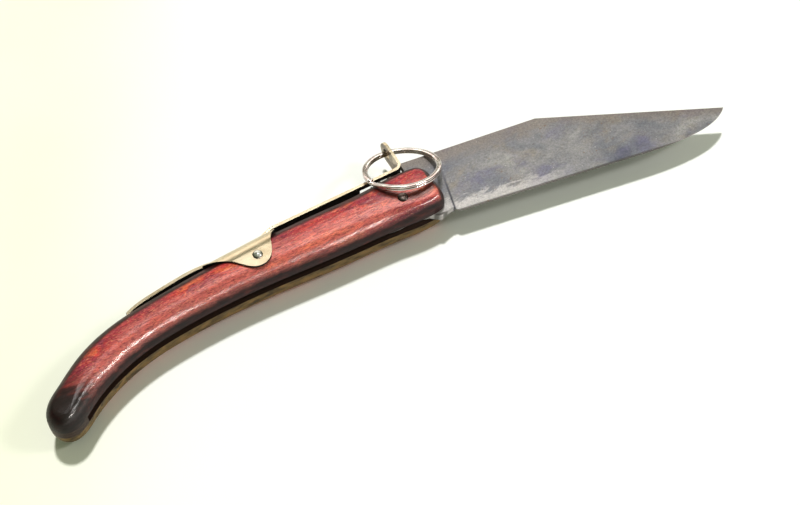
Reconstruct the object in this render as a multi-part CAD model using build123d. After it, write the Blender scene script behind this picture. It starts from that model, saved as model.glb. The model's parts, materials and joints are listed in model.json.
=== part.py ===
from build123d import *
from math import cos, hypot, radians, sin
import os

# A ratchet-lock folding knife, open and lying on its side. Millimetres.
# It is drawn about the blade pivot: +X along the blade, +Y towards the back spring, +Z through the
# thickness, with Z = 0 on the lower face of the wood. The last step moves the origin to the bottom
# centre of the whole object.

# Handle
handle_thickness = 15.0
edge_inset = 5.4  # the edges round over by this much in plan
corner_inset = 3.4  # and by this much round the two ends
low_corner_inset = 2.6
edge_flat = 3.0  # and leave this much upright in the middle of the thickness
fold_round = 5.0  # inside rounding of the sheet where it folds over the handle
handle_front = 12.3  # pivot to the front end of the wood
front_spine_y = 9.7
front_belly_y = -6.3
corner_radius = 5.3  # outline corner at the front end's spine side
low_corner_radius = 3.8  # and at its belly side
butt_center = (-113.5, -13.1)
butt_radius = 5.1
spine_curve = [(-8, 9.8), (-24, 9.95), (-40, 10.0), (-60, 9.1), (-80, 7.3), (-95, 4.5), (-105, 0.1)]
belly_curve = [(-97, -9.3), (-86, -5.8), (-72, -4.0), (-55, -3.5), (-38, -4.2), (-20, -5.2)]
before_butt = (-112.5, -5.2)
after_butt = (-106.5, -14.7)
belly_front = (-4, -5.9)
round_section = 2.2  # the edges' section is a quarter of a slightly squared ellipse
full_section = 4.2  # and squarer than that along the lower half's belly side
mid_z = handle_thickness / 2

# Blade
blade_thickness = 2.4
edge_thickness = 0.3
tip_thickness = 0.9
fold_angle = 165.0  # open to closed
shoulder = (7.3, 14.8)  # where the back of the blade ends, just ahead of the spring's tab
clip_corner = (52.3, 8.8)
tip = (105.9, -16.5)
heel = (14.8, -8.3)
belly_start = (72.8, -18.2)  # the edge is straight from the heel to here
belly_sweep = [(92.8, -20.1), (101.6, -18.8)]  # and curves up through these to the point
tang_low = (-7.2, -4.2)
tang_under = (6.0, -5.6)
kick = (8.8, -7.9)  # stops the closing blade short of its own edge
choil_rear = (11.4, -7.1)
choil = (12.6, -6.8)
choil_front = (13.6, -6.9)
grind_height = 21.0  # height of the flat grind above the edge line
plunge_x = 15.6
plunge_lean = 14.0  # degrees

# Ratchet on the tang: saw teeth that click past the spring's window as the blade opens
tooth_pitch = fold_angle / 11
tooth_count = 5
tooth_tip_radius = 12.7
tooth_root_radius = 10.9
tooth_tip_x = 2.3  # steep face of the engaged tooth
slot_clearance = 0.3  # blade face to the wood on each side
turning_room = 0.55  # between the turning tang and the wood
# The closed blade's pocket, from its open side round its bottom to the butt
pocket_curve = [
    (-12, 6.6), (-17.8, 6.0), (-54.7, 1.1), (-94.6, -2.9), (-101, -5.2), (-106.6, -8.8), (-108.4, -12.4),
]

# Pivot and saddle rivets
pivot_radius = 1.25
pivot_head_radius = 1.6
pivot_head_height = 0.5
saddle_rivet_at = (-46.1, 3.15)
saddle_rivet_radius = 1.0
saddle_head_radius = 1.5
saddle_head_height = 0.7
running_clearance = 0.05

# Back spring: sheet steel
sheet = 0.9
strip_width = 7.5
arm_inner_y = 11.65  # underside of the lock arm
flexure_x = -36.5  # where the lock arm bends, just ahead of the saddle
flexure_gap = 0.12
window_x = (-8.1, 2.6)
window_width = 3.8
tab_rear_x = 6.1
bend_inner = 1.6
hole_y = 20.7
hole_radius = 1.75
tab_end_radius = 3.6
tab_end_spread = 0.5  # the tab keeps its full width for this far above its bend
# The ears' rounded lobe about the saddle rivet, from the rear to the front
ear_lobe = [
    (-61.0, 9.3), (-56.0, 6.4), (-52.8, 4.0), (-49.2, 0.4), (-46.3, -0.5), (-43.4, 0.6), (-41.2, 4.0),
    (-39.8, 7.4), (-37.6, 9.6),
]
ear_top = 14.0
saddle_rear = Vector(-62, 9.05)  # the sheet's inner face along the back of the handle
saddle_front = Vector(-36.5, 10.25)
# Outer face of the sheet where it bends down into the saddle, and of its tail along the back
front_bend = [(-37.8, 12.5), (-39.6, 11.95), (-41.6, 11.2), (-44.0, 10.93)]
tail_curve = [
    (-57.0, 10.23), (-60.0, 10.6), (-64.0, 10.75), (-70.0, 10.3), (-77.0, 9.4), (-83.0, 8.3), (-86.2, 7.1),
]

# Pull ring
ring_outer_diameter = 24.0
ring_wire = 1.6  # radial width
ring_turn = 0.72  # thickness of one turn
ring_normal = Vector(0.13, 0.41, 0.90)
ring_center_x = 5.0
ring_in_hole = Vector(0, -0.25, 0.55)  # where the wire lies in the tab's hole, from its middle
ring_edge_radius = 0.25
turn_overlap = 0.02  # the two turns press together

# Larger than the whole knife, for cutting tools that only need to reach past it
beyond = 150.0


def polar(radius, degrees):
    return radius * cos(radians(degrees)), radius * sin(radians(degrees))


def slab(outline, low, high):
    """A flat outline made solid between two heights."""
    return Pos(0, 0, low) * extrude(outline, amount=high - low)


def handle_points():
    """The widest outline, counter-clockwise from the spine corner of the front end.

    Each point is (x, y, inset, fullness). The inset is how far the side face lies inside the outline
    there, less on the tight corners. The fullness is that of the lower half's section.
    """
    half_way = (edge_inset + corner_inset) / 2
    half_full = (round_section + full_section) / 2
    corner_x = handle_front - corner_radius
    high_corner = Vector(corner_x, front_spine_y - corner_radius)
    low_corner = Vector(handle_front - low_corner_radius, front_belly_y + low_corner_radius)
    butt = Vector(*butt_center)
    tight = (corner_inset, round_section)
    points = [(*round_corner(high_corner, corner_radius, a), *tight) for a in (0, 30, 60, 90)]
    points += [(*point, edge_inset, round_section) for point in spine_curve]
    points += [(*before_butt, half_way, round_section)]
    points += [(*round_corner(butt, butt_radius, a), *tight) for a in range(150, 281, 26)]
    points += [(*after_butt, half_way, half_full)]
    points += [(*point, edge_inset, full_section) for point in belly_curve]
    points += [(*belly_front, half_way, half_full)]
    low_tight = (low_corner_inset, round_section)
    points += [(*round_corner(low_corner, low_corner_radius, a), *low_tight) for a in (-90, -60, -30, 0)]
    return points


def round_corner(center, radius, degrees):
    x, y = polar(radius, degrees)
    return center.X + x, center.Y + y


def handle_section(angle, side):
    """The outline drawn in along the rounding: 0 degrees at the edge of the handle, 90 at the face."""
    points = handle_points()
    rise = sin(radians(angle))
    height = mid_z + side * (edge_flat / 2 + (mid_z - edge_flat / 2) * rise)
    moved = []
    for i, (x, y, inset, fullness) in enumerate(points):
        after, before = points[(i + 1) % len(points)], points[i - 1]
        run = Vector(after[0] - before[0], after[1] - before[1]).normalized()
        power = fullness if side < 0 else round_section
        inward = Vector(-run.Y, run.X) * inset * (1 - max(0, 1 - rise**power) ** (1 / power))
        moved.append(Vector(x, y, height) + inward)
    return make_face(Spline(moved, periodic=True))


def handle_body():
    """The rounded handle, solid all through: sections joined from one face to the other."""
    steps = (0, 22.5, 45, 67.5, 90)
    lower = [handle_section(angle, -1) for angle in reversed(steps)]
    return loft(lower + [handle_section(angle, 1) for angle in steps])


def blade_slot():
    """Room for the closed blade, for the turning tang, and an open front end."""
    half = blade_thickness / 2 + slot_clearance
    open_side = -40
    rear = pocket_curve[-1][0]
    pocket = Polyline((0, open_side), (0, 5), *pocket_curve, (rear, open_side), close=True)
    tang_room = Circle(tooth_tip_radius + turning_room)
    front_room = Pos(beyond / 2, 0) * Rectangle(beyond, beyond)
    # The heel sweeps round under the pivot, and only below the handle's upper half.
    upper_half = Pos(0, beyond / 2) * Rectangle(beyond, beyond - 12)
    heel_room = Circle(hypot(*heel) + turning_room) - upper_half
    room = make_face(pocket) + tang_room + front_room + heel_room
    return slab(room, mid_z - half, mid_z + half)


def handle(saddle):
    """The wooden handle, slotted and drilled, with the saddle's sheet let into its sides."""
    pivot_hole = Pos(0, 0, mid_z) * Cylinder(pivot_radius, beyond)
    rivet_hole = Pos(*saddle_rivet_at, mid_z) * Cylinder(saddle_rivet_radius, beyond)
    return handle_body() - blade_slot() - pivot_hole - rivet_hole - saddle


def ratchet_points():
    """Saw teeth from the engaged one backwards over the tang: steep in front, sloping behind."""
    first = 90 - degrees_off_top(tooth_tip_x, tooth_tip_radius)
    points = []
    for i in range(tooth_count):
        front = first + i * tooth_pitch
        points += [polar(tooth_root_radius, front - 1), polar(tooth_tip_radius, front)]
    return points, first + tooth_count * tooth_pitch - 1


def degrees_off_top(x, radius):
    """How far round from +Y the circle's point at this x lies."""
    return Vector(x, (radius**2 - x**2) ** 0.5).get_angle(Vector(0, 1))


def blade_outline():
    teeth, last_root = ratchet_points()
    root_end = polar(tooth_root_radius, last_root)
    tang_top = polar(tooth_root_radius, (last_root + 180) / 2)
    tang_rear = polar(tooth_root_radius, 180)
    shoulder_foot = (shoulder[0], teeth[0][1])
    edges = [
        Line(clip_corner, shoulder),
        Line(shoulder, shoulder_foot),
        Line(shoulder_foot, teeth[0]),
        Polyline(*teeth, root_end),
        ThreePointArc(root_end, tang_top, tang_rear),
        Spline(tang_rear, tang_low, tang_under, tangents=[(0, -1), (1, -0.4)]),
        Line(tang_under, kick),
        Spline(kick, choil_rear, choil),
        Spline(choil, choil_front, heel, tangents=[(1, 0.2), (0.3, -1)]),
        Line(heel, belly_start),
        Spline(belly_start, *belly_sweep, tip, tangents=[(1, -0.17), (1, 0.85)]),
        Line(tip, clip_corner),
    ]
    return make_face(edges)


def grind(side):
    """The wedge taken off one face, from the full thickness at the back to the thin edge."""
    along = (Vector(*belly_start) - Vector(*heel)).normalized()
    lean = (blade_thickness - edge_thickness) / 2 / grind_height
    up = Vector(-along.Y, along.X) + Vector(0, 0, side * lean)
    outward = up.cross(along).normalized()
    if outward.Z * side < 0:
        outward = -outward
    foot = Vector(*heel, mid_z + side * edge_thickness / 2)
    wedge = Plane(foot, x_dir=along, z_dir=outward) * Pos(0, 0, beyond / 2) * Box(2 * beyond, beyond, beyond)
    ahead_of_plunge = Rot(0, 0, -plunge_lean) * Pos(beyond / 2, 0) * Box(beyond, beyond, beyond)
    return wedge & (Pos(plunge_x, 0, mid_z) * ahead_of_plunge)


def tip_taper(side):
    """What is taken off one face so that the blade thins towards its point."""
    start = Vector(*clip_corner, mid_z + side * blade_thickness / 2)
    run = tip[0] - clip_corner[0]
    fall = (blade_thickness - tip_thickness) / 2
    angle = Vector(run, fall).get_angle(Vector(1, 0))
    block = Pos(beyond / 2, 0, side * beyond / 2) * Box(beyond, beyond, beyond)
    return Pos(*start) * Rot(0, side * angle, 0) * block


def blade():
    half = blade_thickness / 2
    body = slab(blade_outline(), mid_z - half, mid_z + half)
    for side in (-1, 1):
        body -= grind(side)
        body -= tip_taper(side)
    return body - Pos(0, 0, mid_z) * Cylinder(pivot_radius + running_clearance, beyond)


def domed_head(radius, height):
    """A low dome standing on the XY plane."""
    sphere_radius = (radius**2 + height**2) / (2 * height)
    dome = Pos(0, 0, height - sphere_radius) * Sphere(sphere_radius)
    return dome & (Pos(0, 0, height / 2) * Cylinder(radius, height))


def rivet(at, radius, length, head_radius, head_height):
    """A plain shank through the thickness with a dome closed on each end."""
    top = mid_z + length / 2
    head = domed_head(head_radius, head_height)
    shank = Pos(0, 0, mid_z) * Cylinder(radius, length)
    return Pos(*at, 0) * (shank + Pos(0, 0, top) * head + Pos(0, 0, 2 * mid_z - top) * Rot(180, 0, 0) * head)


def saddle_channel():
    """The sheet folded over the back of the handle: a channel along the sloping spine."""
    run = saddle_front - saddle_rear
    depth = 24.0

    def profile(half_width, top, radius):
        box = Pos(0, top - depth / 2) * Rectangle(2 * half_width, depth)
        return fillet(box.vertices().group_by(Axis.Y)[-1], radius)

    section = profile(mid_z + sheet, sheet, fold_round + sheet) - profile(mid_z, 0, fold_round)
    plane = Plane((saddle_rear.X, saddle_rear.Y, mid_z), x_dir=(0, 0, -1), z_dir=(run.X, run.Y, 0))
    return plane * extrude(section, amount=run.length)


def ear_outline():
    """Side view of the saddle with its two ears."""
    rear, front = ear_lobe[0], ear_lobe[-1]
    over = Polyline(front, (front[0], ear_top), (rear[0], ear_top), rear)
    return make_face([Spline(ear_lobe), over])


def strip_side(points, thickness):
    """Side view of a sheet strip whose outer face follows the given points."""
    outer = Spline(points)
    inner_points = []
    for i, point in enumerate(points):
        before = Vector(*points[max(i - 1, 0)])
        after = Vector(*points[min(i + 1, len(points) - 1)])
        run = (after - before).normalized()
        inner_points.append(Vector(*point) + Vector(-run.Y, run.X) * thickness)
    inner = Spline(inner_points)
    return make_face([outer, Line(outer @ 1, inner @ 1), inner, Line(inner @ 0, outer @ 0)])


def spring_saddle():
    """The fixed part of the spring: the folded saddle, its tail, and the bend up to the flexure."""
    half = strip_width / 2
    low, high = mid_z - half, mid_z + half
    saddle = saddle_channel() & slab(ear_outline(), -beyond, beyond)
    front = [(flexure_x - flexure_gap, arm_inner_y + sheet)] + front_bend
    strips = slab(strip_side(front, sheet), low, high) + slab(strip_side(tail_curve, sheet), low, high)
    hole = Pos(*saddle_rivet_at, mid_z) * Cylinder(saddle_rivet_radius, beyond)
    return saddle + strips - hole


def arm_side():
    """Side view of the arm: a straight strip that turns up into the tab."""
    inner, outer = arm_inner_y, arm_inner_y + sheet
    front_x = tab_rear_x + sheet
    tab_top = hole_y + tab_end_radius
    turn = Vector(tab_rear_x - bend_inner, outer + bend_inner)
    diagonal = Vector(*polar(1, -45))
    return make_face([
        Line((flexure_x, inner), (turn.X, inner)),
        ThreePointArc((turn.X, inner), turn + diagonal * (bend_inner + sheet), (front_x, turn.Y)),
        Line((front_x, turn.Y), (front_x, tab_top)),
        Line((front_x, tab_top), (tab_rear_x, tab_top)),
        Line((tab_rear_x, tab_top), (tab_rear_x, turn.Y)),
        ThreePointArc((tab_rear_x, turn.Y), turn + diagonal * bend_inner, (turn.X, outer)),
        Line((turn.X, outer), (flexure_x, outer)),
        Line((flexure_x, outer), (flexure_x, inner)),
    ])


def tab_shape():
    """The tab seen along X: it narrows to a round end about the ring's hole."""
    half = strip_width / 2
    shoulder_y = arm_inner_y + sheet + bend_inner + tab_end_spread
    behind = Plane.YZ.offset(tab_rear_x - 5)
    base = Polyline(
        (0, mid_z - half), (shoulder_y, mid_z - half), (hole_y, mid_z - tab_end_radius),
        (hole_y, mid_z + tab_end_radius), (shoulder_y, mid_z + half), (0, mid_z + half), close=True,
    )
    round_end = Pos(hole_y, mid_z) * Circle(tab_end_radius)
    return extrude(behind * make_face(base), amount=10) + extrude(behind * round_end, amount=10)


def lock_arm():
    """The moving part of the spring, with the ratchet's window and the ring's tab."""
    half = strip_width / 2
    strip_end = tab_rear_x - 5
    strip = Pos((flexure_x + strip_end) / 2, 0, mid_z) * Box(strip_end - flexure_x, beyond, strip_width)
    window = Pos(sum(window_x) / 2, arm_inner_y, mid_z) * Box(window_x[1] - window_x[0], 6, window_width)
    hole = Pos(tab_rear_x, hole_y, mid_z) * Rot(0, 90, 0) * Cylinder(hole_radius, 10)
    arm = slab(arm_side(), mid_z - half, mid_z + half) & (tab_shape() + strip)
    return arm - window - hole


def ring_plane():
    """The ring's own plane: it passes through the tab's hole and leans over the handle."""
    normal = ring_normal.normalized()
    hole = Vector(tab_rear_x + sheet / 2, hole_y, mid_z) + ring_in_hole
    middle = (ring_outer_diameter - ring_wire) / 2
    across = Vector(0, 1, 0).cross(normal).normalized()
    down = normal.cross(across).normalized() * -1
    sideways = (hole.X - ring_center_x) / across.X
    center = hole - across * sideways + down * (middle**2 - sideways**2) ** 0.5
    return Plane(center, x_dir=across, z_dir=normal)


def pull_ring():
    """Two turns of wire pressed together, each with softened edges."""
    outer = ring_outer_diameter / 2
    turn = Cylinder(outer, ring_turn) - Cylinder(outer - ring_wire, ring_turn)
    turn = fillet(turn.edges(), ring_edge_radius)
    apart = (ring_turn - turn_overlap) / 2
    return ring_plane() * (Pos(0, 0, apart) * turn + Pos(0, 0, -apart) * turn)


def pivot_rivet():
    return rivet((0, 0), pivot_radius, handle_thickness, pivot_head_radius, pivot_head_height)


def saddle_rivet():
    """This one also goes through the two ears."""
    length = handle_thickness + 2 * sheet
    return rivet(saddle_rivet_at, saddle_rivet_radius, length, saddle_head_radius, saddle_head_height)


def build():
    """Every node, moved so that the origin is at the bottom centre of the whole."""
    saddle = spring_saddle()
    nodes = {
        "handle": handle(saddle),
        "blade": blade(),
        "pivot_rivet": pivot_rivet(),
        "spring_saddle": saddle,
        "lock_arm": lock_arm(),
        "saddle_rivet": saddle_rivet(),
        "pull_ring": pull_ring(),
    }
    box = Compound(children=[Compound(shape.solids()) for shape in nodes.values()]).bounding_box()
    to_origin = Pos(-box.center().X, -box.center().Y, -box.min.Z)
    print("pivot at", -box.center().X, -box.center().Y, mid_z - box.min.Z)
    print("overall", box.size)
    print("ring", ring_plane().origin, ring_plane().z_dir)
    return {name: to_origin * shape for name, shape in nodes.items()}


os.makedirs("parts", exist_ok=True)
for name, shape in build().items():
    export_step(shape, f"parts/{name}.step")
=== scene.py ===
import bmesh
import bpy
import json
from math import atan2, cos, pi, radians, sin
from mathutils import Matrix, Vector, noise


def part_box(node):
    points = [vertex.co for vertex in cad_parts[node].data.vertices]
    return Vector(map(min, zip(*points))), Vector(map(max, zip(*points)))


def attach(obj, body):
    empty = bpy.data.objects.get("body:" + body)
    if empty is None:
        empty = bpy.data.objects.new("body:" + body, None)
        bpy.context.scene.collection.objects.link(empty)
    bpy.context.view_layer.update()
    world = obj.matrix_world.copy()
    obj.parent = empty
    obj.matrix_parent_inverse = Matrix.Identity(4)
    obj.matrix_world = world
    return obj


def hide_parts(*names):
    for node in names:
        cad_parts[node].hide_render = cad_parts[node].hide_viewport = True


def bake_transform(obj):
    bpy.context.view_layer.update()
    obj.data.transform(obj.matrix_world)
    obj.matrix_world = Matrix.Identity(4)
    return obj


# A ratchet-lock folding knife with a ring pull, open on a pale table.
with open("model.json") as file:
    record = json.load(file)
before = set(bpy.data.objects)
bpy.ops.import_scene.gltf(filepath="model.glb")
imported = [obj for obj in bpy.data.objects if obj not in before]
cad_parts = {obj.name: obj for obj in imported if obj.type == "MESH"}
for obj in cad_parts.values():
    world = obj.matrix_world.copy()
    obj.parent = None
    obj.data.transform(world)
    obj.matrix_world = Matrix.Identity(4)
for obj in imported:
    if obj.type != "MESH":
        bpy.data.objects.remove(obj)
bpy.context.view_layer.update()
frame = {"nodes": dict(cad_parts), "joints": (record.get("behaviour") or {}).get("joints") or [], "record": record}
mm = 0.001
joints = {joint["name"]: joint for joint in frame["joints"]}
pivot = Vector(joints["blade_fold"]["pos_m"])

# Places on the knife, in millimetres from the blade's pivot and from the middle of its thickness
flexure_x = -36.56
blend_half = 3.0
slot_half = 1.5
butt_end = (-116.5, -16.0)
ring_center = (5.65, 10.34)
saddle_rivet_center = (-46.1, 3.15)
middle_y = 2.6
middle_bends_x = -50.0  # ahead of this the handle's middle line is straight
middle_bend = 6.25e-5  # and behind it, it drops by this much of the distance cubed
heel = (14.8, -8.3)
belly_start = (72.8, -18.2)
shoulder = (7.3, 14.8)
clip_corner = (52.3, 8.8)
tip = (105.9, -16.5)
plunge_x = 15.6
plunge_lean = 14.0

# Eased edges of the steel pieces: widths in millimetres, angles in degrees. The bevel is clamped by
# a mesh's shortest edges, and comes out only about 0.004 wide on the spring.
blade_easing = 0.11
spring_easing = 0.10
easing_segments = 2
sharp_from = 28.0
flat_within = 0.4  # faces that turn by less than this are one face

# Joining of corners, in millimetres
doubles_within = 0.004
seam_within = 0.1  # corners this close to the flexure's line lie on it
seam_doubles_within = 0.06
blend_cuts = 5  # on each side of the flexure, so that the sheet can bend

# The wound ring: radii and sizes of its wire in millimetres
turn_radius = 11.19
wire_half_width = 0.78
wire_half_height = 0.35
wire_corner = 0.24
turn_wobble = 0.03
turn_steps = 360
step_half = radians(16)  # half of the arc along which the wire steps to its upper turn
step_bearing = radians(200)

# The rivets: radius of the shank and height of a head, in metres
rivet_sizes = {
    "pivot_rivet": (1.25 * mm, 0.5 * mm),
    "saddle_rivet": (1.0 * mm, 0.7 * mm),
}
dome_rings = 9
dome_around = 40
dome_power = 1.4  # more than 1 sharpens the crown
dent_size = 0.9
dent_depth = 0.05
dented_within = 0.97  # of the head's radius

# Camera
camera_azimuth = radians(-30)
camera_elevation = radians(58)
camera_distance = 422.7
camera_aim = (-7.97, -12.1)
camera_lens = 65.0
camera_sensor = 36.0

# Stage, in metres
# The table's change from cream to white is a painted fall-off of the lamps' light
table_size = 6
table_tone_way = (0.87, -0.50)  # the table pales from cream to white this way
table_cream_to = -0.112
table_white_from = -0.045


def at(x, y, z=0.0):
    """A point of the knife, from its place about the pivot."""
    return pivot + Vector((x, y, z)) * mm


def direction(azimuth, elevation):
    """Unit vector towards a compass bearing, 0 along +X and 90 along +Y, at an elevation."""
    a, e = radians(azimuth), radians(elevation)
    return Vector((cos(a) * cos(e), sin(a) * cos(e), sin(e)))


def bearing(start, end):
    """Angle in plan of the line from start to end, from +X."""
    return atan2(end[1] - start[1], end[0] - start[0])


# Materials


class Shader:
    """One material, with short calls that add its nodes."""

    def __init__(self, name):
        self.material = bpy.data.materials.new(name)
        self.material.use_nodes = True
        self.tree = self.material.node_tree
        self.surface = self.tree.nodes["Principled BSDF"]
        self.coords = self.node("TexCoord")
        self.place = self.coords.outputs["Object"]

    def node(self, kind, **settings):
        made = self.tree.nodes.new("ShaderNode" + kind)
        for key, value in settings.items():
            setattr(made, key, value)
        return made

    def put(self, socket, value):
        if isinstance(value, bpy.types.NodeSocket):
            self.tree.links.new(value, socket)
        elif socket.type == "RGBA" and len(value) == 3:
            socket.default_value = (*value, 1.0)
        else:
            socket.default_value = value

    def finish(self, **inputs):
        """Puts the inputs on the surface's sockets and gives the material."""
        for name, value in inputs.items():
            self.put(self.surface.inputs[name.replace("_", " ")], value)
        return self.material

    def math(self, operation, a, b=0.0):
        made = self.node("Math", operation=operation)
        self.put(made.inputs[0], a)
        self.put(made.inputs[1], b)
        return made.outputs[0]

    def plus(self, a, b):
        return self.math("ADD", a, b)

    def minus(self, a, b):
        return self.math("SUBTRACT", a, b)

    def times(self, first, *others):
        for other in others:
            first = self.math("MULTIPLY", first, other)
        return first

    def most(self, first, *others):
        for other in others:
            first = self.math("MAXIMUM", first, other)
        return first

    def size(self, value):
        return self.math("ABSOLUTE", value)

    def jitter(self, value, fac, amount):
        """The value, moved by up to half the amount either way by a noise."""
        return self.plus(value, self.times(self.minus(fac, 0.5), amount))

    def span(self, value, low, high, out_low=0.0, out_high=1.0):
        """Smoothly from out_low to out_high as the value goes from low to high."""
        made = self.node("MapRange", interpolation_type="SMOOTHSTEP")
        for socket, number in zip(made.inputs, (value, low, high, out_low, out_high)):
            self.put(socket, number)
        return made.outputs[0]

    def split(self, vector):
        made = self.node("SeparateXYZ")
        self.put(made.inputs[0], vector)
        return made.outputs

    def stretched(self, x, y, z, turn=0.0):
        """The place on the knife, with features this many millimetres long each way."""
        made = self.node("Mapping")
        self.put(made.inputs["Vector"], self.place)
        self.put(made.inputs["Rotation"], (0.0, 0.0, radians(turn)))
        self.put(made.inputs["Scale"], (1 / (x * mm), 1 / (y * mm), 1 / (z * mm)))
        return made.outputs[0]

    def noise(self, vector, detail, roughness, distortion, seed):
        made = self.node("TexNoise", noise_dimensions="4D")
        self.put(made.inputs["Vector"], vector)
        self.put(made.inputs["W"], seed)
        self.put(made.inputs["Scale"], 1.0)
        self.put(made.inputs["Detail"], detail)
        self.put(made.inputs["Roughness"], roughness)
        self.put(made.inputs["Distortion"], distortion)
        return made.outputs["Fac"]

    def ramp(self, value, *stops):
        """Colours at places from 0 to 1."""
        made = self.node("ValToRGB")
        stop = made.color_ramp.elements
        while len(stop) < len(stops):
            stop.new(0.5)
        for element, (position, color) in zip(stop, stops):
            element.position = position
            element.color = (*color, 1.0)
        self.put(made.inputs[0], value)
        return made.outputs[0]

    def mix(self, amount, a, b, blend="MIX"):
        made = self.node("Mix", data_type="RGBA", blend_type=blend)
        self.put(made.inputs[0], amount)
        self.put(made.inputs[6], a)
        self.put(made.inputs[7], b)
        return made.outputs[2]

    def bump(self, height, distance, strength=1.0, below=None):
        """Relief this many millimetres deep, on top of the relief below."""
        made = self.node("Bump")
        self.put(made.inputs["Height"], height)
        self.put(made.inputs["Distance"], distance * mm)
        self.put(made.inputs["Strength"], strength)
        if below is not None:
            self.put(made.inputs["Normal"], below)
        return made.outputs[0]

    def from_point(self, x, y):
        """Distance in millimetres from a line through the thickness of the knife."""
        place_x, place_y, _ = self.split(self.place)
        here = at(x, y)
        dx = self.minus(place_x, here.x)
        dy = self.minus(place_y, here.y)
        square = self.plus(self.times(dx, dx), self.times(dy, dy))
        return self.times(self.math("SQRT", square), 1 / mm)

    def across_handle(self):
        """Distance in millimetres from the handle's curved middle line, more than 0 towards its back."""
        place_x, place_y, _ = self.split(self.place)
        behind = self.minus(at(middle_bends_x, 0).x / mm, self.times(place_x, 1 / mm))
        drop = self.times(self.math("POWER", self.most(behind, 0.0), 3.0), middle_bend)
        off_straight = self.minus(self.times(place_y, 1 / mm), at(0, middle_y).y / mm)
        return self.plus(off_straight, drop)

    def across(self, start, angle):
        """Distance in millimetres to the left of a line in plan, less than 0 to its right."""
        place_x, place_y, _ = self.split(self.place)
        here = at(*start)
        left = self.times(self.minus(place_x, here.x), -sin(angle) / mm)
        return self.plus(left, self.times(self.minus(place_y, here.y), cos(angle) / mm))


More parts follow.
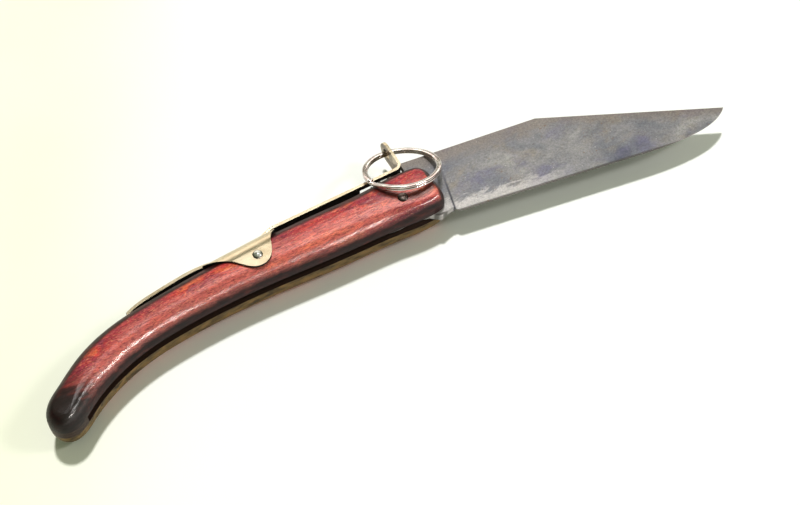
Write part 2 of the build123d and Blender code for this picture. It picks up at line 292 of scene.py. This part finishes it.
def wood_material():
    """Red-stained hardwood under lacquer, dark round its edges from scorching and painted shade, with a painted
    highlight along the middle, a painted reflection of the table and a painted shadow of the ring.
    """
    s = Shader("lacquered_wood_grain")
    _, _, place_z = s.split(s.place)
    normal_x, normal_y, normal_z = s.split(s.coords.outputs["Normal"])
    flatness = s.size(normal_z)
    upright = s.minus(place_z, pivot.z)
    off_middle = s.times(s.size(upright), 1 / mm)

    # Stain, from crimson to orange, with purple patches; a painted highlight makes it paler along the middle, and
    # it darkens towards the back
    drift = s.noise(s.stretched(17, 6, 9), 5, 0.6, 0.5, 1.0)
    color = s.ramp(
        drift,
        (0.32, (0.160, 0.010, 0.030)), (0.43, (0.360, 0.024, 0.042)),
        (0.54, (0.580, 0.056, 0.046)), (0.66, (0.840, 0.190, 0.060)),
    )
    stain = s.span(s.noise(s.stretched(9, 4, 8), 4, 0.65, 0.8, 5.0), 0.48, 0.64)
    color = s.mix(s.times(stain, 0.65), color, (0.130, 0.012, 0.055))
    from_middle = s.across_handle()
    jagged_from_middle = s.jitter(from_middle, drift, 14.0)
    painted_sheen = s.times(s.span(jagged_from_middle, -9.0, -5.0), s.span(jagged_from_middle, 2.5, -2.0), 0.48)
    color = s.mix(painted_sheen, color, (0.760, 0.210, 0.160))
    color = s.mix(s.span(jagged_from_middle, 2.5, 7.5, 0.0, 0.55), color, (0.160, 0.014, 0.016))

    # Grain: fibres and open pores, and pale flecks along it that are partly painted glints of fine scratches
    fibre = s.noise(s.stretched(2.4, 0.42, 0.5, -14), 5, 0.75, 0.5, 2.0)
    shades = s.ramp(
        fibre, (0.34, (0.30, 0.20, 0.24)), (0.5, (0.92, 0.88, 0.90)), (0.66, (1.45, 1.45, 1.25)))
    color = s.mix(0.9, color, shades, "MULTIPLY")
    pores = s.noise(s.stretched(1.0, 0.30, 0.3, -30), 3, 0.65, 0.2, 3.0)
    color = s.mix(s.span(pores, 0.52, 0.64, 0.0, 0.75), color, (0.110, 0.008, 0.014))
    flecks = s.noise(s.stretched(0.9, 0.28, 0.3, -24), 3, 0.65, 0.2, 9.0)
    color = s.mix(s.span(flecks, 0.54, 0.68, 0.0, 0.6), color, (0.850, 0.300, 0.150))

    # Dark on the rounded edges, the front, the back and the butt, picked by the way the surface faces: partly
    # scorching, partly painted shade where these faces turn from the light
    ragged = s.noise(s.stretched(5, 1.6, 2.0), 4, 0.6, 0.3, 4.0)
    edge_scorch_and_shade = s.span(s.jitter(flatness, ragged, 0.35), 0.74, 0.26)
    from_butt = s.jitter(s.from_point(*butt_end), ragged, 8.0)
    scorch_and_shade = s.most(
        edge_scorch_and_shade, s.span(from_butt, 19.0, 8.5), s.span(normal_x, 0.22, 0.60), s.span(normal_y, 0.20, 0.50))
    burnt_and_shaded = s.ramp(
        ragged, (0.35, (0.010, 0.003, 0.003)), (0.55, (0.034, 0.006, 0.006)), (0.75, (0.110, 0.016, 0.010)))
    color = s.mix(scorch_and_shade, color, burnt_and_shaded)
    color = s.mix(s.span(from_butt, 12.0, 6.0, 0.0, 0.75), color, (0.006, 0.003, 0.003))
    # A dark crescent at the ring: painted shadow of the ring, with some wear where it rubs
    from_ring = s.jitter(s.from_point(*ring_center), ragged, 1.2)
    ring_shadow_and_rub = s.times(s.span(from_ring, 10.2, 11.2), s.span(from_ring, 13.6, 12.2), 0.8)
    color = s.mix(ring_shadow_and_rub, color, (0.045, 0.008, 0.006))

    # Tan along the lower edge of the belly: a painted reflection of the pale table in the lacquer
    table_reflection = s.times(
        s.span(upright, -1.4 * mm, -1.6 * mm), s.span(flatness, 0.70, 0.35),
        s.span(normal_y, 0.30, -0.30), s.span(ragged, 0.28, 0.52, 0.45, 1.0), 0.80)
    reflected_tan = s.ramp(
        ragged, (0.3, (0.080, 0.050, 0.018)), (0.5, (0.200, 0.125, 0.040)), (0.7, (0.360, 0.200, 0.065)))
    color = s.mix(table_reflection, color, reflected_tan)

    # Bare wood in the sawn slot, painted dark as the shade inside it
    sawn = s.span(off_middle, slot_half + 0.06, slot_half + 0.01)
    bare_wood_in_shade = s.ramp(fibre, (0.3, (0.018, 0.008, 0.006)), (0.7, (0.060, 0.028, 0.018)))
    color = s.mix(sawn, color, bare_wood_in_shade)

    # Lacquer, dull where the wood is sawn, where its edges are darkened by scorching and painted shade, or where
    # it turns away from the face
    coat = s.times(
        s.span(off_middle, slot_half + 0.05, slot_half + 0.4, 0.0, 0.80),
        s.span(upright, -0.5 * mm, 1.0 * mm, 0.25, 1.0),
        s.span(flatness, 0.15, 0.60, 0.08, 1.0),
        s.span(normal_y, 0.05, 0.40, 1.0, 0.0),
        s.span(normal_x, -0.50, -0.15, 0.0, 1.0),
        s.span(edge_scorch_and_shade, 0.3, 1.0, 1.0, 0.25),
    )
    crown = s.bump(s.times(from_middle, from_middle, -0.010), 1.0)
    waves = s.bump(s.noise(s.stretched(9, 2.5, 3), 3, 0.55, 0.0, 6.0), 0.24, 1.0, crown)
    relief = s.bump(fibre, 0.035, 0.8, waves)
    relief = s.bump(pores, 0.03, 0.6, relief)
    return s.finish(
        Base_Color=color,
        Roughness=s.span(fibre, 0.3, 0.7, 0.52, 0.38),
        Normal=relief,
        Specular_IOR_Level=0.15,
        Coat_Weight=coat,
        Coat_Roughness=0.20,
        Coat_Normal=relief,
    )


def blade_material():
    """Old carbon steel: a blotchy blue-brown patina, pale where rubbing has thinned it, with specks of rust."""
    s = Shader("patinated_steel")

    # Patina in broad blotches, browner along the back
    broad = s.noise(s.stretched(17, 11, 11, 12), 6, 0.6, 0.5, 1.0)
    color = s.ramp(
        broad,
        (0.32, (0.100, 0.104, 0.140)), (0.44, (0.190, 0.190, 0.215)),
        (0.55, (0.275, 0.265, 0.275)), (0.68, (0.385, 0.370, 0.365)),
    )
    brown = s.span(s.noise(s.stretched(13, 8, 8, -20), 5, 0.65, 0.7, 4.0), 0.50, 0.70)
    color = s.mix(s.times(brown, 0.60), color, (0.290, 0.245, 0.190))
    violet = s.span(s.noise(s.stretched(10, 7, 7, 40), 4, 0.6, 0.4, 8.0), 0.52, 0.72)
    color = s.mix(s.times(violet, 0.65), color, (0.165, 0.150, 0.245))
    from_back = s.across(shoulder, bearing(shoulder, clip_corner))
    from_clip = s.across(clip_corner, bearing(clip_corner, tip))
    under_back = s.most(from_back, s.times(from_clip, 1.6))
    ragged = s.noise(s.stretched(4, 2, 3), 4, 0.65, 0.4, 31.0)
    near_back = s.span(s.plus(under_back, s.times(ragged, 9.0)), -2.5, 3.5, 0.0, 0.6)
    color = s.mix(near_back, color, (0.255, 0.205, 0.175))

    # Rubbed pale along the edge near the heel, under a fine grain, with painted shade on the edge's bevel
    from_edge = s.across(heel, bearing(heel, belly_start))
    patchy = s.noise(s.stretched(6, 2.2, 3, -8), 4, 0.7, 0.6, 6.0)
    near_edge = s.span(s.plus(from_edge, s.times(patchy, -12.0)), -1.2, -3.4)
    near_heel = s.span(s.from_point(*heel), 46, 18)
    color = s.mix(s.times(near_edge, near_heel, 0.70), color, (0.62, 0.58, 0.57))
    fine = s.noise(s.stretched(0.7, 0.55, 0.6), 4, 0.75, 0.0, 2.0)
    grain = s.ramp(
        fine, (0.34, (0.60, 0.59, 0.60)), (0.5, (0.94, 0.94, 0.94)), (0.66, (1.32, 1.31, 1.30)))
    color = s.mix(0.75, color, grain, "MULTIPLY")
    bevel = s.times(s.span(from_edge, 0.75, 0.35), s.span(from_edge, -0.6, 0.0), 0.8)
    color = s.mix(bevel, color, (0.060, 0.055, 0.045))

    # Pale specks, dark pits and patches of rust
    specks = s.noise(s.stretched(0.62, 0.55, 0.6), 2, 0.5, 0.0, 12.0)
    color = s.mix(s.span(specks, 0.70, 0.77), color, (0.74, 0.72, 0.67))
    pits = s.noise(s.stretched(0.7, 0.6, 0.6), 2, 0.5, 0.0, 21.0)
    color = s.mix(s.span(pits, 0.66, 0.76, 0.0, 0.8), color, (0.085, 0.075, 0.070))
    rust = s.noise(s.stretched(1.5, 1.1, 1.2), 3, 0.6, 0.2, 15.0)
    patches = s.span(s.noise(s.stretched(20, 12, 12), 2, 0.5, 0.0, 16.0), 0.46, 0.62)
    rust = s.times(s.span(rust, 0.60, 0.72), patches)
    color = s.mix(s.times(rust, 0.75), color, (0.260, 0.140, 0.060))

    # Darker along the plunge line, more so towards the edge
    line = s.size(s.across((plunge_x, 0.0), radians(90 - plunge_lean)))
    _, place_y, _ = s.split(s.place)
    low_down = s.span(place_y, at(0, 13).y, at(0, -6).y, 0.05, 0.9)
    color = s.mix(s.times(s.span(line, 0.65, 0.10), low_down), color, (0.014, 0.016, 0.036))
    return s.finish(
        Base_Color=color,
        Metallic=0.55,
        Roughness=s.plus(s.span(broad, 0.3, 0.7, 0.40, 0.58), s.times(rust, 0.25)),
        Normal=s.bump(fine, 0.02, 0.5, s.bump(broad, 0.10, 0.5)),
    )


def nickel_material():
    """Satin nickel plate: finely brushed and yellowed, dull where it faces the wood, with painted shade on the
    faces turned towards the wood and on those turned along the knife.
    """
    s = Shader("satin_nickel")
    normal_x, normal_y, _ = s.split(s.coords.outputs["Normal"])
    cloud = s.noise(s.stretched(9, 5, 5), 4, 0.6, 0.5, 1.0)
    brushed = s.noise(s.stretched(6.0, 0.10, 0.10, 14), 3, 0.6, 0.0, 2.0)
    color = s.ramp(
        cloud, (0.3, (0.500, 0.395, 0.260)), (0.5, (0.640, 0.530, 0.380)), (0.7, (0.760, 0.650, 0.490)))
    streaks = s.ramp(brushed, (0.3, (0.75, 0.74, 0.72)), (0.7, (1.2, 1.2, 1.2)))
    color = s.mix(0.35, color, streaks, "MULTIPLY")
    stain = s.noise(s.stretched(1.6, 1.2, 1.2), 4, 0.65, 0.4, 3.0)
    color = s.mix(s.span(stain, 0.62, 0.74, 0.0, 0.5), color, (0.180, 0.130, 0.080))
    # Painted shade, in patches, on the faces turned along the knife
    endwise_shade = s.times(s.span(s.size(normal_x), 0.5, 0.9), s.span(cloud, 0.62, 0.42, 0.45, 1.0))
    color = s.mix(endwise_shade, color, (0.105, 0.072, 0.036))
    # Painted shade on the faces turned towards the wood, which are also made duller
    inner_face_shade = s.span(normal_y, -0.35, -0.80)
    color = s.mix(inner_face_shade, color, (0.045, 0.040, 0.038))
    return s.finish(
        Base_Color=color,
        Metallic=1.0,
        Roughness=s.plus(s.span(brushed, 0.3, 0.7, 0.26, 0.38), s.times(inner_face_shade, 0.25)),
        Normal=s.bump(brushed, 0.006, 0.6, s.bump(cloud, 0.05, 0.5)),
    )


def wire_material():
    """Bright nickelled wire with a brownish film in places."""
    s = Shader("nickelled_wire")
    cloud = s.noise(s.stretched(5, 5, 5), 4, 0.6, 0.5, 1.0)
    color = s.ramp(
        cloud, (0.34, (0.360, 0.265, 0.260)), (0.5, (0.640, 0.550, 0.540)), (0.66, (0.900, 0.850, 0.830)))
    scratch = s.noise(s.stretched(0.25, 2.0, 0.25, 30), 3, 0.6, 0.0, 2.0)
    return s.finish(
        Base_Color=color,
        Metallic=1.0,
        Roughness=s.span(scratch, 0.3, 0.7, 0.09, 0.18),
        Normal=s.bump(scratch, 0.002, 0.5, s.bump(cloud, 0.02, 0.5)),
    )


def rivet_material(name, center, rim_radius, core, rim):
    """Hammered steel, polished on its crown and darkened round its rim by painted shade."""
    s = Shader(name)
    grit = s.noise(s.stretched(0.5, 0.5, 0.5), 4, 0.6, 0.3, 1.0)
    outward = s.jitter(s.from_point(*center), grit, 0.8)
    color = s.mix(s.span(outward, 0.55 * rim_radius, 0.95 * rim_radius), core, rim)
    color = s.mix(0.5, color, s.ramp(grit, (0.3, (0.7, 0.7, 0.7)), (0.7, (1.2, 1.2, 1.2))), "MULTIPLY")
    return s.finish(
        Base_Color=color,
        Metallic=1.0,
        Roughness=s.span(grit, 0.3, 0.7, 0.22, 0.45),
        Normal=s.bump(grit, 0.03, 0.6),
    )


# Meshes


def copied(nodes):
    """The CAD nodes' own surface as one mesh, with its doubled corners joined."""
    bm = bmesh.new()
    for node in nodes:
        bm.from_mesh(frame["nodes"][node].data)
    bmesh.ops.remove_doubles(bm, verts=bm.verts, dist=doubles_within * mm)
    return bm


def softened(bm, width):
    """Joins the triangles of each flat face, then rounds off every sharp edge."""
    bmesh.ops.dissolve_limit(bm, angle_limit=radians(flat_within), verts=bm.verts, edges=bm.edges)
    sharp = [e for e in bm.edges if len(e.link_faces) == 2 and e.calc_face_angle(0) > radians(sharp_from)]
    bmesh.ops.bevel(
        bm, geom=sharp, offset=width * mm, offset_type="OFFSET", segments=easing_segments, profile=0.5,
        affect="EDGES", clamp_overlap=True,
    )


def join_rows(bm, rows):
    """Faces between each closed row of corners and the next."""
    for near, far in zip(rows, rows[1:]):
        for i in range(len(near)):
            j = (i + 1) % len(near)
            bm.faces.new((near[i], near[j], far[j], far[i]))


def piece(name, bm, material, body, replaced):
    """A finished piece: smooth-shaded, and riding on its body in place of its CAD nodes."""
    bmesh.ops.recalc_face_normals(bm, faces=bm.faces)
    mesh = bpy.data.meshes.new(name)
    bm.to_mesh(mesh)
    bm.free()
    mesh.materials.append(material)
    mesh.shade_smooth()
    made = bpy.data.objects.new(name, mesh)
    bpy.context.scene.collection.objects.link(made)
    even = made.modifiers.new("even shading", "WEIGHTED_NORMAL")
    even.weight = 100
    even.keep_sharp = True
    if body:
        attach(made, body)
    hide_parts(*replaced)
    return made


def blade_piece():
    bm = copied(["blade"])
    softened(bm, blade_easing)
    piece("blade_steel", bm, blade_material(), "blade_unit", ["blade"])


def spring_piece():
    """The whole back spring in one sheet, joined again across the line where its arm flexes."""
    bm = copied(["spring_saddle", "lock_arm"])
    seam = at(flexure_x, 0).x
    at_seam = [v for v in bm.verts if abs(v.co.x - seam) < seam_within * mm]
    faces = [f for f in bm.faces if all(v in at_seam for v in f.verts)]
    bmesh.ops.delete(bm, geom=faces, context="FACES_ONLY")
    for vertex in at_seam:
        vertex.co.x = seam
    bmesh.ops.remove_doubles(bm, verts=at_seam, dist=seam_doubles_within * mm)
    softened(bm, spring_easing)
    for i in range(-blend_cuts, blend_cuts + 1):
        cut = at(flexure_x + i * blend_half / blend_cuts, 0)
        everything = [*bm.verts, *bm.edges, *bm.faces]
        bmesh.ops.bisect_plane(bm, geom=everything, dist=1e-7, plane_co=cut, plane_no=(1, 0, 0))
    made = piece("back_spring", bm, nickel_material(), None, ["spring_saddle", "lock_arm"])
    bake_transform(made)


def wire_section():
    """Corners of the flat wire's rounded section, as (outwards, along the ring's axis)."""
    wide, high = wire_half_width - wire_corner, wire_half_height - wire_corner
    section = []
    for side_x, side_y, first in ((1, 1, 0), (-1, 1, 90), (-1, -1, 180), (1, -1, 270)):
        for turn in (0, 30, 60, 90):
            a = radians(first + turn)
            section.append((side_x * wide + wire_corner * cos(a), side_y * high + wire_corner * sin(a)))
    return section


def ring_piece():
    """A wound split ring: two turns of flat wire, stepping from the lower to the upper turn once."""
    eye = frame["record"]["mounts"][0]
    center = Vector(eye["pos_m"])
    normal = Vector(eye["axis"]).normalized()
    across = Vector((0, 1, 0)).cross(normal).normalized()
    upwards = normal.cross(across)
    section = wire_section()
    start, stop = step_half, 4 * pi - step_half
    bm = bmesh.new()
    rows = []
    for i in range(turn_steps + 1):
        angle = start + (stop - start) * i / turn_steps
        rise = (angle - (2 * pi - step_half)) / (2 * step_half)
        rise = min(max(rise, 0.0), 1.0)
        height = wire_half_height * 2 * (rise * rise * (3 - 2 * rise)) - wire_half_height
        outward = across * cos(angle + step_bearing) + upwards * sin(angle + step_bearing)
        radius = turn_radius + turn_wobble * sin(3 * angle)
        row = []
        for wide, thick in section:
            place = center + (outward * (radius + wide) + normal * (height + thick)) * mm
            row.append(bm.verts.new(place))
        rows.append(row)
    join_rows(bm, rows)
    bm.faces.new(rows[0])
    bm.faces.new(reversed(rows[-1]))
    piece("split_ring", bm, wire_material(), "ring_unit", ["pull_ring"])


def rivet_piece(name, node, dents, material):
    """A shank with a hammered dome on each end, turned from a profile and dented."""
    low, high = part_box(node)
    center = (low + high) / 2
    radius = (high.x - low.x) / 2
    crown = (high.z - low.z) / 2
    shank_radius, head_height = rivet_sizes[node]
    face = crown - head_height
    outline = []
    for i in range(1, dome_rings + 1):
        lean = i / dome_rings * pi / 2
        outline.append((radius * sin(lean), face + (crown - face) * cos(lean) ** dome_power))
    outline.append((shank_radius, face))
    bm = bmesh.new()

    def ring(reach, height, side):
        row = []
        for k in range(dome_around):
            a = 2 * pi * k / dome_around
            spot = Vector((reach * cos(a), reach * sin(a), height * side))
            if reach < radius * dented_within:
                dent = noise.noise(spot / (dent_size * mm) + Vector((dents, 0, side)))
                spot.z -= side * dent_depth * mm * max(dent, 0.0)
            row.append(bm.verts.new(center + spot))
        return row

    rows = [ring(reach, height, 1) for reach, height in outline]
    rows += [ring(reach, height, -1) for reach, height in reversed(outline)]
    join_rows(bm, rows)
    for row, side in ((rows[0], 1), (rows[-1], -1)):
        peak = bm.verts.new(center + Vector((0, 0, side * crown)))
        for i in range(dome_around):
            bm.faces.new((row[i], row[(i + 1) % dome_around], peak))
    piece(name, bm, material, "handle_unit", [node])


# Stage


def floor():
    """A plain table top with a painted fall-off of light: cream at the left of the picture and almost white from
    there on.
    """
    bpy.ops.mesh.primitive_plane_add(size=table_size)
    made = bpy.context.object
    made.name = "table_top"
    s = Shader("pale_table")
    place_x, place_y, _ = s.split(s.place)
    rightwards = s.plus(s.times(place_x, table_tone_way[0]), s.times(place_y, table_tone_way[1]))
    faint = s.noise(s.stretched(60, 60, 60), 3, 0.5, 0.0, 1.0)
    cream = s.ramp(faint, (0.3, (0.90, 0.90, 0.72)), (0.7, (0.92, 0.92, 0.76)))
    color = s.mix(s.span(rightwards, table_cream_to, table_white_from), cream, (0.96, 0.96, 0.93))
    made.data.materials.append(s.finish(Base_Color=color, Roughness=0.7))


def softbox(name, towards, distance, size, power, color, glossy=True, diffuse=True):
    """An area light that faces the knife, and may be left out of gloss or out of diffuse light."""
    data = bpy.data.lights.new(name, "AREA")
    data.shape = "RECTANGLE"
    data.size, data.size_y = size
    data.energy = power
    data.color = color
    made = bpy.data.objects.new(name, data)
    bpy.context.scene.collection.objects.link(made)
    made.location = at(0, 0) + towards * distance
    made.rotation_euler = towards.to_track_quat("Z", "Y").to_euler()
    made.visible_glossy = glossy
    made.visible_diffuse = diffuse


def lights():
    world = bpy.data.worlds.new("studio")
    bpy.context.scene.world = world
    world.use_nodes = True
    sky = world.node_tree.nodes["Background"]
    sky.inputs["Color"].default_value = (0.88, 1.0, 0.70, 1.0)
    sky.inputs["Strength"].default_value = 0.24
    softbox("key", direction(72, 71), 3.0, (0.21, 0.21), 76.0, (1.0, 1.0, 1.0), glossy=False)
    softbox("key_gloss", direction(55, 67), 1.0, (0.34, 0.34), 2.2, (1.0, 0.98, 0.95), diffuse=False)
    softbox("right", direction(-28, 45), 3.0, (0.48, 0.48), 18.0, (1.0, 1.0, 0.97))
    softbox("back", direction(74, 18), 1.2, (1.2, 0.5), 4.0, (1.0, 0.93, 0.85), diffuse=False)
    softbox("front", direction(-64, 27), 1.0, (0.50, 0.035), 10.0, (1.0, 0.94, 0.88), diffuse=False)


def camera():
    data = bpy.data.cameras.new("camera")
    data.lens = camera_lens
    data.sensor_width = camera_sensor
    made = bpy.data.objects.new("camera", data)
    bpy.context.scene.collection.objects.link(made)
    flat = cos(camera_elevation)
    back = Vector((sin(camera_azimuth) * flat, -cos(camera_azimuth) * flat, sin(camera_elevation)))
    made.location = at(*camera_aim) + back * camera_distance * mm
    made.rotation_euler = (pi / 2 - camera_elevation, 0, camera_azimuth)
    bpy.context.scene.camera = made


wood = frame["nodes"]["handle"]
wood.data.materials.clear()
wood.data.materials.append(wood_material())
blade_piece()
spring_piece()
ring_piece()
# The pivot's head is painted dark all over, as the ring's shadow falling on it
rivet_piece("pivot_head", "pivot_rivet", 1.0, rivet_material(
    "hammered_pivot", (0, 0), 1.6, (0.150, 0.120, 0.110), (0.030, 0.020, 0.018)))
rivet_piece("saddle_head", "saddle_rivet", 2.0, rivet_material(
    "hammered_saddle", saddle_rivet_center, 1.5, (0.72, 0.71, 0.68), (0.12, 0.10, 0.085)))
floor()
lights()
camera()
bpy.context.scene.view_settings.view_transform = "Standard"
